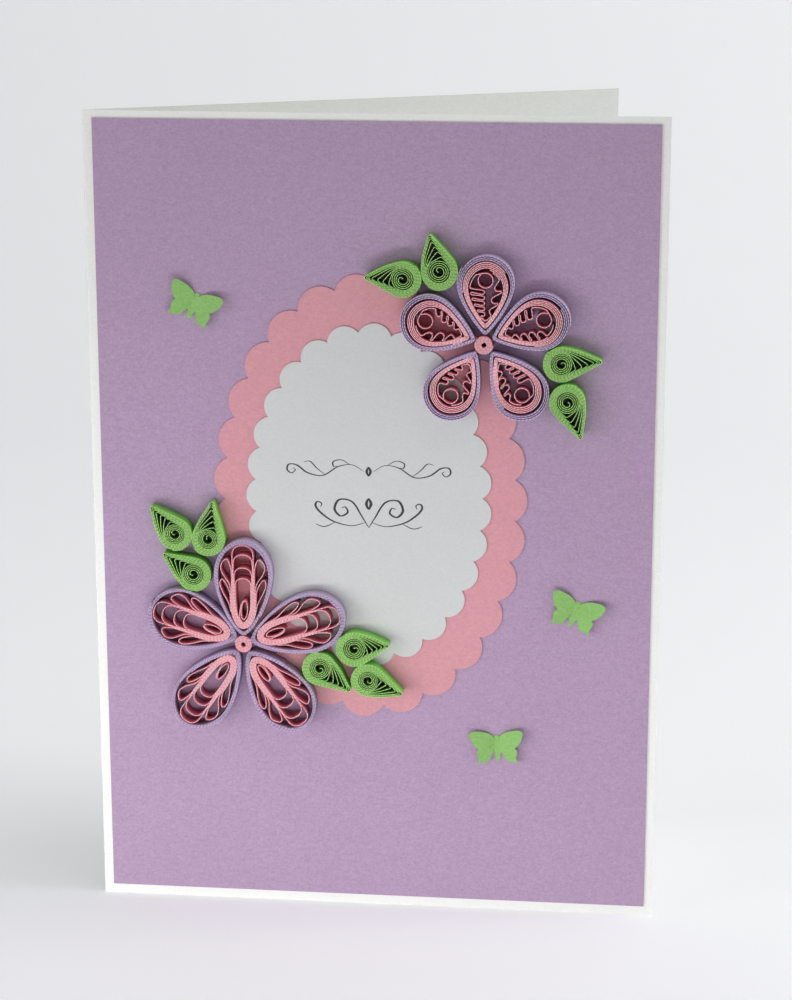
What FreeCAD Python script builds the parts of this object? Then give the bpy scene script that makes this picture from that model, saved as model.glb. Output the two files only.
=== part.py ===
import FreeCAD, Part
import math
import os

Vector = FreeCAD.Vector

# A folded card that stands on its lower edge, with two scalloped ovals, two flowers and ten leaves of
# paper strip on edge, and three punched butterflies. All sizes are in millimetres.

# Folded sheet
LEAF_WIDTH = 105.0
LEAF_HEIGHT = 150.0
SHEET = 0.3
FOLD_INNER_RADIUS = 0.25
OPENING_ANGLE = 26.06

# Sheets glued on the front leaf
PANEL_SHEET = 0.25
PANEL_MARGIN_FOLD = 1.9
PANEL_MARGIN_OPEN = 1.6
PANEL_MARGIN_BOTTOM = 1.85
PANEL_MARGIN_TOP = 1.35
PINK_OVAL_SHEET = 0.25
PINK_OVAL_WIDTH = 53.4
PINK_OVAL_HEIGHT = 79.3
PINK_OVAL_CENTRE = (0.493, 0.531)
PINK_SCALLOPS = 27
PINK_SCALLOP_RISE = 2.15
PINK_SCALLOP_PHASE = -0.43
WHITE_OVAL_SHEET = 0.25
WHITE_OVAL_WIDTH = 41.7
WHITE_OVAL_HEIGHT = 61.1
WHITE_OVAL_CENTRE = (0.491, 0.535)
WHITE_SCALLOPS = 27
WHITE_SCALLOP_RISE = 1.75
WHITE_SCALLOP_PHASE = 0.04

# Paper strip
STRIP_WIDTH = 3.0
STRIP_THICKNESS = 0.12
TURN_GAP = 0.055
PIECE_GAP = 0.06
FOLD_SOFTNESS = 0.16
PATH_STEP = 0.07
SPANS_PER_EDGE = 8

# Lower flower
LOW_FLOWER_AT = (0.270, 0.346)
LOW_COIL_DIAMETER = 3.3
LOW_WALL_TURNS = 3.6
LOW_LOBE_HALF_WIDTH = 1.3
RAIL_GAP = 0.04

# Upper flower
HIGH_FLOWER_AT = (0.692, 0.7296)
HIGH_COIL_DIAMETER = 3.4
HIGH_WALL_TURNS = 3.1
HIGH_WALL_PITCH = 0.26
HIGH_BAND_TURNS = 4.1
HIGH_BAND_PITCH = 0.24
HIGH_RING_DIAMETER = 2.8
BEND_RADIUS = 0.17

# Both flowers
COIL_HOLE_DIAMETER = 0.8

# Leaves
LEAF_LENGTH = 10.7
LEAF_HALF_WIDTH = 3.3
LEAF_EYE_RADIUS = 0.75
LEAF_CORE_TURNS = 3.4
LEAF_FAN_TURNS = 4.1
LEAF_WALL_TURNS = 3.14

# Butterflies
BUTTERFLY_SPAN = 10.0
BUTTERFLY_SHEET = 0.2
BUTTERFLY_BODY_WIDTH = 0.9
WING_LIFT_ANGLE = 17.0

PITCH = STRIP_THICKNESS + TURN_GAP


# Plane geometry
def add(a, b):
    return (a[0] + b[0], a[1] + b[1])


def turned(point, degrees):
    c = math.cos(math.radians(degrees))
    s = math.sin(math.radians(degrees))
    return (c * point[0] - s * point[1], s * point[0] + c * point[1])


def placed(points, degrees, at):
    return [add(turned(p, degrees), at) for p in points]


def gap_between(a, b):
    return math.hypot(a[0] - b[0], a[1] - b[1])


def smoothstep(value):
    value = max(0.0, min(1.0, value))
    return value * value * (3.0 - 2.0 * value)


def resampled(points, step):
    # The same path with points at an even spacing close to step.
    lengths = [0.0]
    for a, b in zip(points, points[1:]):
        lengths.append(lengths[-1] + gap_between(a, b))
    count = max(2, int(round(lengths[-1] / step)))
    result = []
    at = 0
    for i in range(count + 1):
        goal = lengths[-1] * i / count
        while at < len(points) - 2 and lengths[at + 1] < goal:
            at += 1
        span = lengths[at + 1] - lengths[at]
        share = (goal - lengths[at]) / span if span > 0 else 0.0
        a, b = points[at], points[at + 1]
        result.append((a[0] + (b[0] - a[0]) * share, a[1] + (b[1] - a[1]) * share))
    return result


def softened(points, reach):
    # Rounds every fold of a path to about the radius that paper takes.
    points = resampled(points, PATH_STEP)
    for _ in range(max(1, int(round(2.0 * (reach / PATH_STEP) ** 2)))):
        inner = []
        for a, b, c in zip(points, points[1:], points[2:]):
            inner.append(((a[0] + 2 * b[0] + c[0]) / 4.0, (a[1] + 2 * b[1] + c[1]) / 4.0))
        points = [points[0]] + inner + [points[-1]]
    return points


def through(points, per_span=14):
    # A smooth path through a few chosen points.
    if len(points) < 3:
        return list(points)
    first = (2 * points[0][0] - points[1][0], 2 * points[0][1] - points[1][1])
    last = (2 * points[-1][0] - points[-2][0], 2 * points[-1][1] - points[-2][1])
    knots = [first] + list(points) + [last]
    result = []
    for a, b, c, d in zip(knots, knots[1:], knots[2:], knots[3:]):
        for i in range(per_span):
            t = i / per_span
            pair = []
            for k in (0, 1):
                pair.append(0.5 * (2 * b[k] + (c[k] - a[k]) * t
                                   + (2 * a[k] - 5 * b[k] + 4 * c[k] - d[k]) * t * t
                                   + (3 * b[k] - a[k] - 3 * c[k] + d[k]) * t ** 3))
            result.append(tuple(pair))
    result.append(points[-1])
    return result


def inside(point, outline):
    hit = False
    x, y = point
    for a, b in zip(outline, outline[1:] + outline[:1]):
        if (a[1] > y) != (b[1] > y):
            if x < a[0] + (b[0] - a[0]) * (y - a[1]) / (b[1] - a[1]):
                hit = not hit
    return hit


def overlaps(one, other):
    return any(inside(p, other) for p in one) or any(inside(p, one) for p in other)


def clearance(one, other):
    # Smallest distance between two outlines, zero where they overlap.
    if overlaps(one, other):
        return 0.0
    best = 1e9
    for p in one:
        for a, b in zip(other, other[1:] + other[:1]):
            dx, dy = b[0] - a[0], b[1] - a[1]
            span = dx * dx + dy * dy
            share = ((p[0] - a[0]) * dx + (p[1] - a[1]) * dy) / span if span > 0 else 0.0
            share = max(0.0, min(1.0, share))
            best = min(best, math.hypot(p[0] - a[0] - dx * share, p[1] - a[1] - dy * share))
    return best


def settled(outline, degrees, neighbours):
    # Shift along a direction that brings an outline against its neighbours with the piece gap left free.
    direction = (math.cos(math.radians(degrees)), math.sin(math.radians(degrees)))

    def free(shift):
        moved = [(p[0] + direction[0] * shift, p[1] + direction[1] * shift) for p in outline]
        return all(clearance(moved, other) >= PIECE_GAP for other in neighbours)

    high = 0.0
    while not free(high):
        high += 0.4
    low = high - 0.4
    while high == 0.0 and low > -0.9 and free(low):
        low -= 0.4
        high_seen = low + 0.4
        if high_seen < high:
            high = high_seen
    for _ in range(6):
        middle = (low + high) / 2.0
        if free(middle):
            high = middle
        else:
            low = middle
    return (direction[0] * high, direction[1] * high)


# Solids
def thinned(points):
    # Leaves out points where the path is nearly straight.
    kept = [0]
    turn = 0.0
    run = 0.0
    for i in range(1, len(points) - 1):
        a, b, c = points[i - 1], points[i], points[i + 1]
        u = math.atan2(b[1] - a[1], b[0] - a[0])
        v = math.atan2(c[1] - b[1], c[0] - b[0])
        turn += abs((v - u + math.pi) % (2 * math.pi) - math.pi)
        run += gap_between(a, b)
        if turn > 0.2 or run > 1.0:
            kept.append(i)
            turn = 0.0
            run = 0.0
    if len(points) - 1 - kept[-1] < 3 and len(kept) > 2:
        kept.pop()
    kept.append(len(points) - 1)
    return kept


def sides(points, half):
    kept = thinned(points)
    left, right = [], []
    for i in kept:
        a = points[max(0, i - 1)]
        b = points[min(len(points) - 1, i + 1)]
        span = gap_between(a, b)
        nx, ny = -(b[1] - a[1]) / span, (b[0] - a[0]) / span
        left.append((points[i][0] + nx * half, points[i][1] + ny * half))
        right.append((points[i][0] - nx * half, points[i][1] - ny * half))
    return left, right


def curve_edge(points):
    curve = Part.BSplineCurve()
    curve.interpolate([Vector(p[0], p[1], 0) for p in points])
    return curve.toShape()


def curve_edges(points):
    # One smooth curve, cut into short lengths that share its tangents.
    curve = Part.BSplineCurve()
    curve.interpolate([Vector(p[0], p[1], 0) for p in points])
    knots = curve.getKnots()
    cuts = list(range(0, len(knots) - 1, SPANS_PER_EDGE))
    if len(knots) - 1 - cuts[-1] < SPANS_PER_EDGE // 2 and len(cuts) > 1:
        cuts.pop()
    cuts.append(len(knots) - 1)
    edges = []
    for first, last in zip(cuts, cuts[1:]):
        piece = curve.copy()
        piece.segment(knots[first], knots[last])
        edges.append(piece.toShape())
    return edges


def strip_solid(points, level):
    # A paper strip that stands on edge along a path.
    left, right = sides(points, STRIP_THICKNESS / 2.0)
    right.reverse()
    start = Part.makeLine(Vector(right[-1][0], right[-1][1], 0), Vector(left[0][0], left[0][1], 0))
    end = Part.makeLine(Vector(left[-1][0], left[-1][1], 0), Vector(right[0][0], right[0][1], 0))
    wire = Part.Wire(curve_edges(left) + [end] + curve_edges(right) + [start])
    solid = Part.Face(wire).extrude(Vector(0, 0, STRIP_WIDTH))
    solid.translate(Vector(0, 0, level))
    return solid


def sheet_solid(edges, thickness, level):
    solid = Part.Face(Part.Wire(edges)).extrude(Vector(0, 0, thickness))
    solid.translate(Vector(0, 0, level))
    return solid


# Scalloped ovals
def scallop_points(width, height, count, rise, phase, centre):
    # Valleys evenly spaced along an ellipse, with the crown of each scallop between them.
    a, b = width / 2.0, height / 2.0
    fine = 4000
    lengths = [0.0]
    for i in range(fine):
        t0, t1 = 2 * math.pi * i / fine, 2 * math.pi * (i + 1) / fine
        lengths.append(lengths[-1] + math.hypot(a * (math.cos(t1) - math.cos(t0)),
                                                b * (math.sin(t1) - math.sin(t0))))
    valleys, crowns = [], []
    for k in range(2 * count):
        goal = ((k / 2.0 + phase) / count) % 1.0 * lengths[-1]
        i = 0
        low, high = 0, fine
        while high - low > 1:
            i = (low + high) // 2
            if lengths[i] <= goal:
                low = i
            else:
                high = i
        t = 2 * math.pi * (low + (goal - lengths[low]) / (lengths[low + 1] - lengths[low])) / fine
        nx, ny = math.cos(t) / a, math.sin(t) / b
        size = math.hypot(nx, ny)
        lift = 0.0 if k % 2 == 0 else rise
        x = centre[0] + a * math.cos(t) + lift * nx / size
        y = centre[1] + b * math.sin(t) + lift * ny / size
        point = (x, y)
        (valleys if k % 2 == 0 else crowns).append(point)
    return valleys, crowns


def scalloped_sheet(valleys, crowns, thickness, level):
    edges = []
    for k, crown in enumerate(crowns):
        a, c = valleys[k], valleys[(k + 1) % len(valleys)]
        corners = [Vector(p[0], p[1], 0) for p in (a, crown, c)]
        edges.append(Part.Arc(*corners).toShape())
    return sheet_solid(edges, thickness, level)


def scallop_outline(valleys, crowns):
    result = []
    for valley, crown in zip(valleys, crowns):
        result.append(valley)
        result.append(crown)
    return result


# Petals lie along +x from their tip at the origin
WIDEST_SHARE = 0.64


class Petal:
    def __init__(self, length, width, blunt, tip_pull, end_pull):
        self.length = length
        self.width = width
        self.blunt = blunt
        self.tip_pull = tip_pull
        self.end_pull = end_pull
        self.power = math.log(0.5) / math.log(WIDEST_SHARE)

    def span(self, inset):
        start = self.tip_pull * inset
        return start, self.length - self.end_pull * inset

    def half_width(self, x, inset):
        start, end = self.span(inset)
        share = (x - start) / (end - start)
        if share <= 0.0 or share >= 1.0:
            return 0.0
        wave = math.sin(math.pi * share ** self.power)
        return (self.width / 2.0 - inset) * wave ** (self.blunt if share < WIDEST_SHARE else 0.5)

    def point(self, turn, inset):
        # turn runs from 0 at the tip along the left side to 0.5 at the round end and back to 1.
        start, end = self.span(inset)
        share = (1.0 - math.cos(2 * math.pi * turn)) / 2.0
        x = start + (end - start) * share
        side = 1.0 if turn % 1.0 < 0.5 else -1.0
        return (x, side * self.half_width(x, inset))

    def wound(self, inset_outer, inset_inner, turns, begin):
        # The path of a strip wound inside the petal, from the inner turn to the outer one.
        points = []
        count = int(turns * 150)
        for i in range(count + 1):
            share = i / count
            inset = inset_inner + (inset_outer - inset_inner) * share
            points.append(self.point(begin + turns * share, inset))
        return softened(points, FOLD_SOFTNESS)

    def outline(self, inset):
        return [self.point(i / 72.0, inset) for i in range(72)]


def wall_path(petal, turns, pitch, first_inset, begin):
    outer = first_inset + STRIP_THICKNESS / 2.0
    return petal.wound(outer, outer + pitch * turns, turns, begin)


# Looped strip of the lower petals: four nested arches, two side lobes on each side and an eye near the tip
LOBE_TOPS = (0.575, 0.71, 0.88, 1.0)
RAILS = 8
UPPER_LOBE = ((0.68, 0.0), (0.73, 0.10), (0.775, 0.26), (0.803, 0.58),
              (0.775, 0.88), (0.72, 0.94), (0.65, 0.72),
              (0.59, 0.40), (0.54, 0.18), (0.47, 0.0))
LOWER_LOBE = ((0.45, 0.0), (0.51, 0.22), (0.56, 0.45), (0.592, 0.74),
              (0.565, 0.95), (0.51, 0.97), (0.43, 0.78),
              (0.35, 0.40), (0.28, 0.0))


def looped_path(petal, inset, tops, eye_lean, hand):
    limit = inset + 2.0 * PIECE_GAP + STRIP_THICKNESS / 2.0
    pitch = STRIP_THICKNESS + RAIL_GAP
    size = petal.length / 18.15
    broad = petal.width / 10.7

    def room(x):
        # Half width left between the two bundles of rails, measured square to the wall
        slope = (petal.half_width(x + 0.1, limit) - petal.half_width(x - 0.1, limit)) / 0.2
        return petal.half_width(x, limit) - (RAILS - 1) * pitch * math.hypot(1.0, slope)

    top_half = LOW_LOBE_HALF_WIDTH * broad
    first = petal.span(limit)[0]
    while petal.half_width(first - 0.1, limit) <= 0.0 or room(first) < 0.02:
        first += 0.02
    base = []
    x = first
    while x < petal.length * 0.95:
        rise = top_half * (1.0 - math.exp(-(x - first) / (1.35 * size)))
        base.append((x, min(rise, room(x)) if x < petal.length * 0.45 else rise))
        x += 0.05
    # One side of the rails, from far out to the tip, then the other side.
    rail = [(p[0], p[1]) for p in reversed(base)] + [(first - 0.02, 0.0)] + [(p[0], -p[1]) for p in base]
    rail = softened(rail, 0.3)
    middle = min(range(len(rail)), key=lambda i: rail[i][0])
    step = gap_between(rail[0], rail[1])

    def on_rail(run, offset):
        # run is measured from the tip, positive on the right side.
        i = middle + int(round(run / step))
        i = max(1, min(len(rail) - 2, i))
        a, b = rail[i - 1], rail[i + 1]
        span = gap_between(a, b)
        nx, ny = (b[1] - a[1]) / span, -(b[0] - a[0]) / span
        return (rail[i][0] - (-nx) * offset, rail[i][1] + ny * offset)

    def run_to(x_goal):
        i = middle
        while i < len(rail) - 2 and rail[i][0] < x_goal:
            i += 1
        return (i - middle) * step

    def leg(side, offset, x_from, x_to):
        a, b = run_to(x_from), run_to(x_to)
        count = max(2, int(abs(b - a) / 0.15))
        return [on_rail(side * (a + (b - a) * i / count), offset) for i in range(count + 1)]

    low_x = first + 2.4 * size

    def crossing(side, offset_from, offset_to):
        # From the rails on one side round the tip to the other side.
        reach = run_to(low_x)
        points = []
        for i in range(41):
            share = i / 40.0
            run = side * reach * (1.0 - 2.0 * share)
            points.append(on_rail(run, offset_from + (offset_to - offset_from) * smoothstep(share)))
        return points

    def arch(offset, top, height):
        x0 = top - height
        a = on_rail(run_to(x0), offset)
        b = on_rail(-run_to(x0), offset)
        half = (b[1] - a[1]) / 2.0
        points = []
        for i in range(1, 40):
            angle = math.pi * (i / 40.0 - 0.5)
            s, c = math.sin(angle), math.cos(angle)
            across = half * math.copysign(abs(s) ** 0.85, s)
            points.append((a[0] + height * abs(c) ** 0.85, across + (a[1] + b[1]) / 2.0))
        return points

    def lobe(side, offset, marks):
        # A side lobe that swings from its rail out to the wall and back to the next rail. Each mark gives a
        # share of the petal's length and a share of the way from the rail to the wall.
        wall = limit + 0.5 * STRIP_THICKNESS
        path = []
        for i, (along, across) in enumerate(marks):
            x = petal.length * along
            own = offset + (pitch if i == len(marks) - 1 else 0.0)
            near = on_rail(side * run_to(x), own)
            edge = side * -petal.half_width(x, wall)
            path.append((x, near[1] + (edge - near[1]) * across))
        return through(path)

    points = []
    # Eye near the tip, drawn first
    eye_x = first + 2.45 * size
    eye_reach = 1.7 * size
    eye_half = min(0.5 * broad, on_rail(-run_to(eye_x), 0.0)[1] - 2.6 * pitch)
    for i in range(50):
        angle = 2 * math.pi * (i / 40.0)
        half = eye_half + pitch * 1.15 * i / 40.0
        x = eye_x + (eye_reach + pitch * 1.15 * i / 40.0) * math.cos(angle)
        y = half * math.sin(angle)
        points.append((x, y + eye_lean * (x - first) * 0.2))
    points += crossing(-1, 0.0, pitch)[10:]
    offset = pitch
    for k, share in enumerate(tops):
        top = first + (petal.span(limit)[1] - first) * share
        height = min(2.0 * size, top_half + 0.15 + 0.2 * k)
        points += leg(1, offset, low_x, top - height)
        points += arch(offset, top, height)
        points += leg(-1, offset, top - height, low_x)
        following = offset + pitch
        points += crossing(-1, offset, following)
        offset = following
    upper_from, upper_back = UPPER_LOBE[0][0] * petal.length, UPPER_LOBE[-1][0] * petal.length
    lower_from, lower_back = LOWER_LOBE[0][0] * petal.length, LOWER_LOBE[-1][0] * petal.length
    for marks, leave, back in ((UPPER_LOBE, upper_from, upper_back), (LOWER_LOBE, lower_from, lower_back)):
        points += leg(1, offset, low_x, leave)
        points += lobe(1, offset, marks)
        points += leg(1, offset + pitch, back, low_x)
        points += crossing(1, offset + pitch, offset)
        points += leg(-1, offset, low_x, leave)
        points += lobe(-1, offset, marks)
        points += leg(-1, offset + pitch, back, low_x)
        if marks is UPPER_LOBE:
            points += crossing(-1, offset + pitch, offset + 2 * pitch)
        offset += 2 * pitch
    points = [(p[0], hand * p[1]) for p in points]
    return softened(points, 0.13)


# Bent strip of the upper petals: hairpins along both sides and a ring at the round end. The path runs like a
# belt round circles: each is a centre, a radius, and 1 where the belt turns left round it or -1 where right.
def belt(circles, lap, last_point):
    # lap is the angle by which the first circle stays open.
    headings = []
    for (one, r1, s1), (two, r2, s2) in zip(circles, circles[1:]):
        across = (s2 * r2 - s1 * r1) / gap_between(one, two)
        direct = math.atan2(two[1] - one[1], two[0] - one[0])
        headings.append(direct - math.asin(max(-1.0, min(1.0, across))))
    centre, radius, sense = circles[-1]
    direct = math.atan2(last_point[1] - centre[1], last_point[0] - centre[0])
    headings.append(direct + sense * math.asin(radius / gap_between(centre, last_point)))
    points = []
    heading = headings[0] + lap
    for (centre, radius, sense), leave in zip(circles, headings):
        swing = sense * ((sense * (leave - heading)) % (2.0 * math.pi))
        if abs(swing) > 1.9 * math.pi and points:
            swing = 0.0
        count = max(2, int(abs(swing) / 0.2))
        for i in range(count + 1):
            angle = heading + swing * i / count
            points.append((centre[0] + sense * radius * math.sin(angle),
                           centre[1] - sense * radius * math.cos(angle)))
        heading = leave
    return points + [last_point]


def hairpin_path(petal, inset, ring, left, right, hand):
    limit = inset + 1.8 * PIECE_GAP + STRIP_THICKNESS / 2.0
    start, end = petal.span(limit)
    size = petal.length / 14.5
    broad = petal.width / 10.2
    radius = HIGH_RING_DIAMETER / 2.0 - STRIP_THICKNESS / 2.0
    ring_at = (end - radius - ring[0] * size, ring[1] * broad)

    def nook(x, side):
        return ((x, side * (petal.half_width(x, limit) - BEND_RADIUS)), BEND_RADIUS, 1)

    def row(side, first_x, last_x, count, reach, slant, bulb):
        # Hairpins from first_x to last_x along one side, each a bulb between two nooks at the wall.
        circles = []
        step = (last_x - first_x) / count
        for i in range(count):
            x = first_x + step * (i + 0.5)
            depth = petal.half_width(x, limit)
            near = (1.0 - reach) * depth
            tip_x = x - slant * min(1.0, depth / 3.0)
            lean = math.hypot(tip_x - x, 0.8 * (depth - near))
            upright = 0.8 * (depth - near) / lean
            if abs(tip_x - ring_at[0]) < radius + bulb + 0.3:
                near = max(near, radius + side * ring_at[1] + 0.3)
            round_by = min(bulb, abs(step) * upright / 2.0 - 0.16, (depth - near) / 2.0 - 0.1)
            if round_by < 1.3 * BEND_RADIUS:
                continue
            circles.append(((tip_x, side * (near + round_by)), round_by, -1))
            circles.append(nook(x + step / 2.0, side))
        return circles

    def wide_from(half):
        x = start
        while petal.half_width(x, limit) < half:
            x += 0.05
        return x

    lead = ring_at[0]
    left_first, left_last = lead - left[0] * size, wide_from(left[1])
    right_first, right_last = wide_from(right[1]), lead - right[0] * size
    tip_x = wide_from(BEND_RADIUS + 0.25)
    circles = [(ring_at, radius, 1)]
    circles += [nook(left_first + (lead + 0.9 - left_first) * i / 4.0, 1.0) for i in (4, 3, 2, 1, 0)]
    circles += row(1.0, left_first, left_last, left[2], left[3], left[4], left[5])
    circles.append(((tip_x, 0.0), BEND_RADIUS, 1))
    circles.append(nook(right_first, -1.0))
    circles += row(-1.0, right_first, right_last, right[2], right[3], right[4], right[5])
    circles += [nook(right_last + (end - 0.5 - right_last) * i / 3.0, -1.0) for i in (1, 2)]
    points = belt(circles, 0.5, (end - 0.35, -petal.half_width(end - 0.35, limit) + 0.05))
    points = [(p[0], hand * p[1]) for p in points]
    return softened(points, 0.1)


# Leaves lie with the coil's centre at the origin and the pinched tip on +x
def leaf_path(length, half_width, hand):
    outer = half_width - STRIP_THICKNESS / 2.0
    reach = length - half_width - STRIP_THICKNESS + 0.2
    total = LEAF_CORE_TURNS + LEAF_FAN_TURNS + LEAF_WALL_TURNS
    loose = LEAF_CORE_TURNS + LEAF_FAN_TURNS
    wall_start = outer - PITCH * LEAF_WALL_TURNS
    core_end = wall_start - PITCH * LEAF_FAN_TURNS
    sharp = math.asin(outer / reach)
    eye = LEAF_EYE_RADIUS + STRIP_THICKNESS / 2.0
    fan_reach = wall_start / math.sin(sharp)
    points = []
    for i in range(9):
        share = i / 9.0
        points.append((eye * (0.15 + 0.85 * share) * math.cos(-1.9 + 1.9 * share),
                       eye * (0.15 + 0.85 * share) * math.sin(-1.9 + 1.9 * share)))
    count = int(total * 110)
    for i in range(count + 1):
        turn = total * i / count
        angle = 2 * math.pi * turn
        if turn < LEAF_CORE_TURNS:
            radius = eye + (core_end - eye) * turn / LEAF_CORE_TURNS
        elif turn < loose:
            radius = core_end + PITCH * (turn - LEAF_CORE_TURNS)
        else:
            radius = wall_start + (outer - wall_start) * (turn - loose) / LEAF_WALL_TURNS
        if turn < LEAF_CORE_TURNS:
            tip = radius
        elif turn < loose:
            share = (turn - LEAF_CORE_TURNS) / LEAF_FAN_TURNS
            tip = max(radius, core_end + (fan_reach - core_end) * share)
        else:
            tip = radius / math.sin(sharp)
        centre = 0.0
        if tip > radius * 1.0001 and turn < loose:
            centre = (math.acos(wall_start / fan_reach) - math.acos(radius / tip)) * 0.9
        half = math.acos(min(1.0, radius / tip))
        away = (angle - centre + math.pi) % (2 * math.pi) - math.pi
        if abs(away) < half:
            u = abs(away) / half
            reach_now = radius / math.cos(half - abs(away))
            bulge = 0.075 if away < 0 else 0.02
            reach_now *= 1.0 + bulge * math.sin(math.pi * u) * min(1.0, (tip / radius - 1.0) * 1.5)
        else:
            reach_now = radius
        points.append((reach_now * math.cos(angle), reach_now * math.sin(angle)))
    points = [(p[0], hand * p[1]) for p in points]
    return softened(points, FOLD_SOFTNESS)


def hull_of(points, half):
    # Convex outline round a path, grown by half the strip's thickness.
    grown = []
    for p in points[::3]:
        for i in range(8):
            angle = math.pi * i / 4.0
            grown.append((p[0] + half * math.cos(angle), p[1] + half * math.sin(angle)))
    grown.sort()
    hull = []
    for pass_points in (grown, grown[::-1]):
        base = len(hull)
        for p in pass_points:
            while len(hull) >= base + 2:
                a, b = hull[-2], hull[-1]
                if (b[0] - a[0]) * (p[1] - a[1]) - (b[1] - a[1]) * (p[0] - a[0]) > 0:
                    break
                hull.pop()
            hull.append(p)
        hull.pop()
    return hull


# Round coil at a flower's centre
def coil_path(diameter):
    inner = COIL_HOLE_DIAMETER / 2.0 + STRIP_THICKNESS / 2.0
    outer = diameter / 2.0 - STRIP_THICKNESS / 2.0
    turns = (outer - inner) / PITCH
    count = int(turns * 60)
    points = []
    for i in range(count + 1):
        angle = 2 * math.pi * turns * i / count
        radius = inner + (outer - inner) * i / count
        points.append((radius * math.cos(angle), radius * math.sin(angle)))
    return softened(points, 0.05)


def circle_outline(radius, at):
    result = []
    for i in range(36):
        angle = 2 * math.pi * i / 36.0
        result.append((at[0] + radius * math.cos(angle), at[1] + radius * math.sin(angle)))
    return result


# Butterfly, seen from the front with its head towards +y, for a half span of 5
FORE_EDGE = ((0.46, 2.05), (0.98, 2.6), (2.0, 3.2), (3.4, 3.55), (4.4, 3.62), (4.82, 3.45), (5.0, 3.05))
OUTER_EDGE = ((5.0, 3.05), (4.65, 1.75), (4.0, 0.7), (3.3, 0.05))
HIND_EDGE = ((3.3, 0.05), (3.72, -0.45), (3.68, -1.2), (3.5, -1.95))
TAIL = ((3.5, -1.95), (3.62, -2.3), (3.74, -2.62), (3.66, -2.84), (3.44, -2.82))
LOWER_EDGE = ((3.44, -2.82), (2.9, -2.5), (2.3, -2.62), (1.75, -2.4), (1.4, -2.1))
INNER_EDGE = ((1.4, -2.1), (1.15, -1.4), (0.72, -0.8))
ABDOMEN = ((0.72, -0.8), (0.52, -1.5), (0.35, -2.3), (0.0, -2.62))
HEAD = ((0.0, 2.36), (0.14, 2.5), (0.3, 2.53), (0.38, 2.38), (0.46, 2.05))


def butterfly_edges():
    size = BUTTERFLY_SPAN / 10.0
    right = []
    for part in (HEAD, FORE_EDGE, OUTER_EDGE, HIND_EDGE, TAIL, LOWER_EDGE, INNER_EDGE, ABDOMEN):
        right.append([(p[0] * size, p[1] * size) for p in part])
    edges = [curve_edge(part) for part in right]
    for part in reversed(right):
        edges.append(curve_edge([(-p[0], p[1]) for p in reversed(part)]))
    return edges


def butterfly_solid(degrees, at, level):
    span = BUTTERFLY_SPAN / 2.0 + 0.5
    slope = math.tan(math.radians(WING_LIFT_ANGLE))
    rise = BUTTERFLY_SHEET / math.cos(math.radians(WING_LIFT_ANGLE))
    half = BUTTERFLY_BODY_WIDTH / 2.0
    inner = half + BUTTERFLY_SHEET * math.tan(math.radians(WING_LIFT_ANGLE / 2.0)) * -1.0
    lift = (span - half) * slope
    profile = [Vector(-span, 0, lift), Vector(-half, 0, 0), Vector(half, 0, 0), Vector(span, 0, lift),
               Vector(span, 0, lift + rise), Vector(inner, 0, BUTTERFLY_SHEET),
               Vector(-inner, 0, BUTTERFLY_SHEET), Vector(-span, 0, lift + rise), Vector(-span, 0, lift)]
    reach = BUTTERFLY_SPAN * 0.45
    plate = Part.Face(Part.makePolygon(profile)).extrude(Vector(0, 2 * reach, 0))
    plate.translate(Vector(0, -reach, 0))
    prism = Part.Face(Part.Wire(butterfly_edges())).extrude(Vector(0, 0, lift + 2.0))
    prism.translate(Vector(0, 0, -1.0))
    solid = plate.common(prism).Solids[0]
    solid.rotate(Vector(0, 0, 0), Vector(0, 0, 1), degrees)
    solid.translate(Vector(at[0], at[1], level))
    return solid


def butterfly_outline(degrees, at):
    half = BUTTERFLY_SPAN / 2.0
    box = [(-half, -half * 0.6), (half, -half * 0.6), (half, half * 0.75), (-half, half * 0.75)]
    return placed(box, degrees, at)


# Folded sheet, drawn as a cross-section seen from above and raised to the card's height
def folded_sheet():
    outer = FOLD_INNER_RADIUS + SHEET
    centre = Vector(outer, outer, 0)
    back = math.radians(OPENING_ANGLE)
    along = Vector(math.cos(back), math.sin(back), 0)
    away = Vector(-math.sin(back), math.cos(back), 0)
    reach = LEAF_WIDTH - outer

    def arc(radius):
        first = centre + Vector(0, -radius, 0)
        half_way = math.radians(-90.0 - (180.0 - OPENING_ANGLE) / 2.0)
        middle = centre + Vector(radius * math.cos(half_way), radius * math.sin(half_way), 0)
        last = centre + away * radius
        return first, middle, last

    a, b, c = arc(outer)
    d, e, f = arc(FOLD_INNER_RADIUS)
    front_outer = Vector(LEAF_WIDTH, 0, 0)
    front_inner = Vector(LEAF_WIDTH, SHEET, 0)
    back_outer = c + along * reach
    back_inner = f + along * reach
    edges = [Part.makeLine(front_outer, a), Part.Arc(a, b, c).toShape(), Part.makeLine(c, back_outer),
             Part.makeLine(back_outer, back_inner), Part.makeLine(back_inner, f), Part.Arc(f, e, d).toShape(),
             Part.makeLine(d, front_inner), Part.makeLine(front_inner, front_outer)]
    return Part.Face(Part.Wire(edges)).extrude(Vector(0, 0, LEAF_HEIGHT)), back_outer.y


# Levels above the front leaf, set by the highest sheet under a piece
PANEL_TOP = PANEL_SHEET
PINK_TOP = PANEL_TOP + PINK_OVAL_SHEET
WHITE_TOP = PINK_TOP + WHITE_OVAL_SHEET

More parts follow.
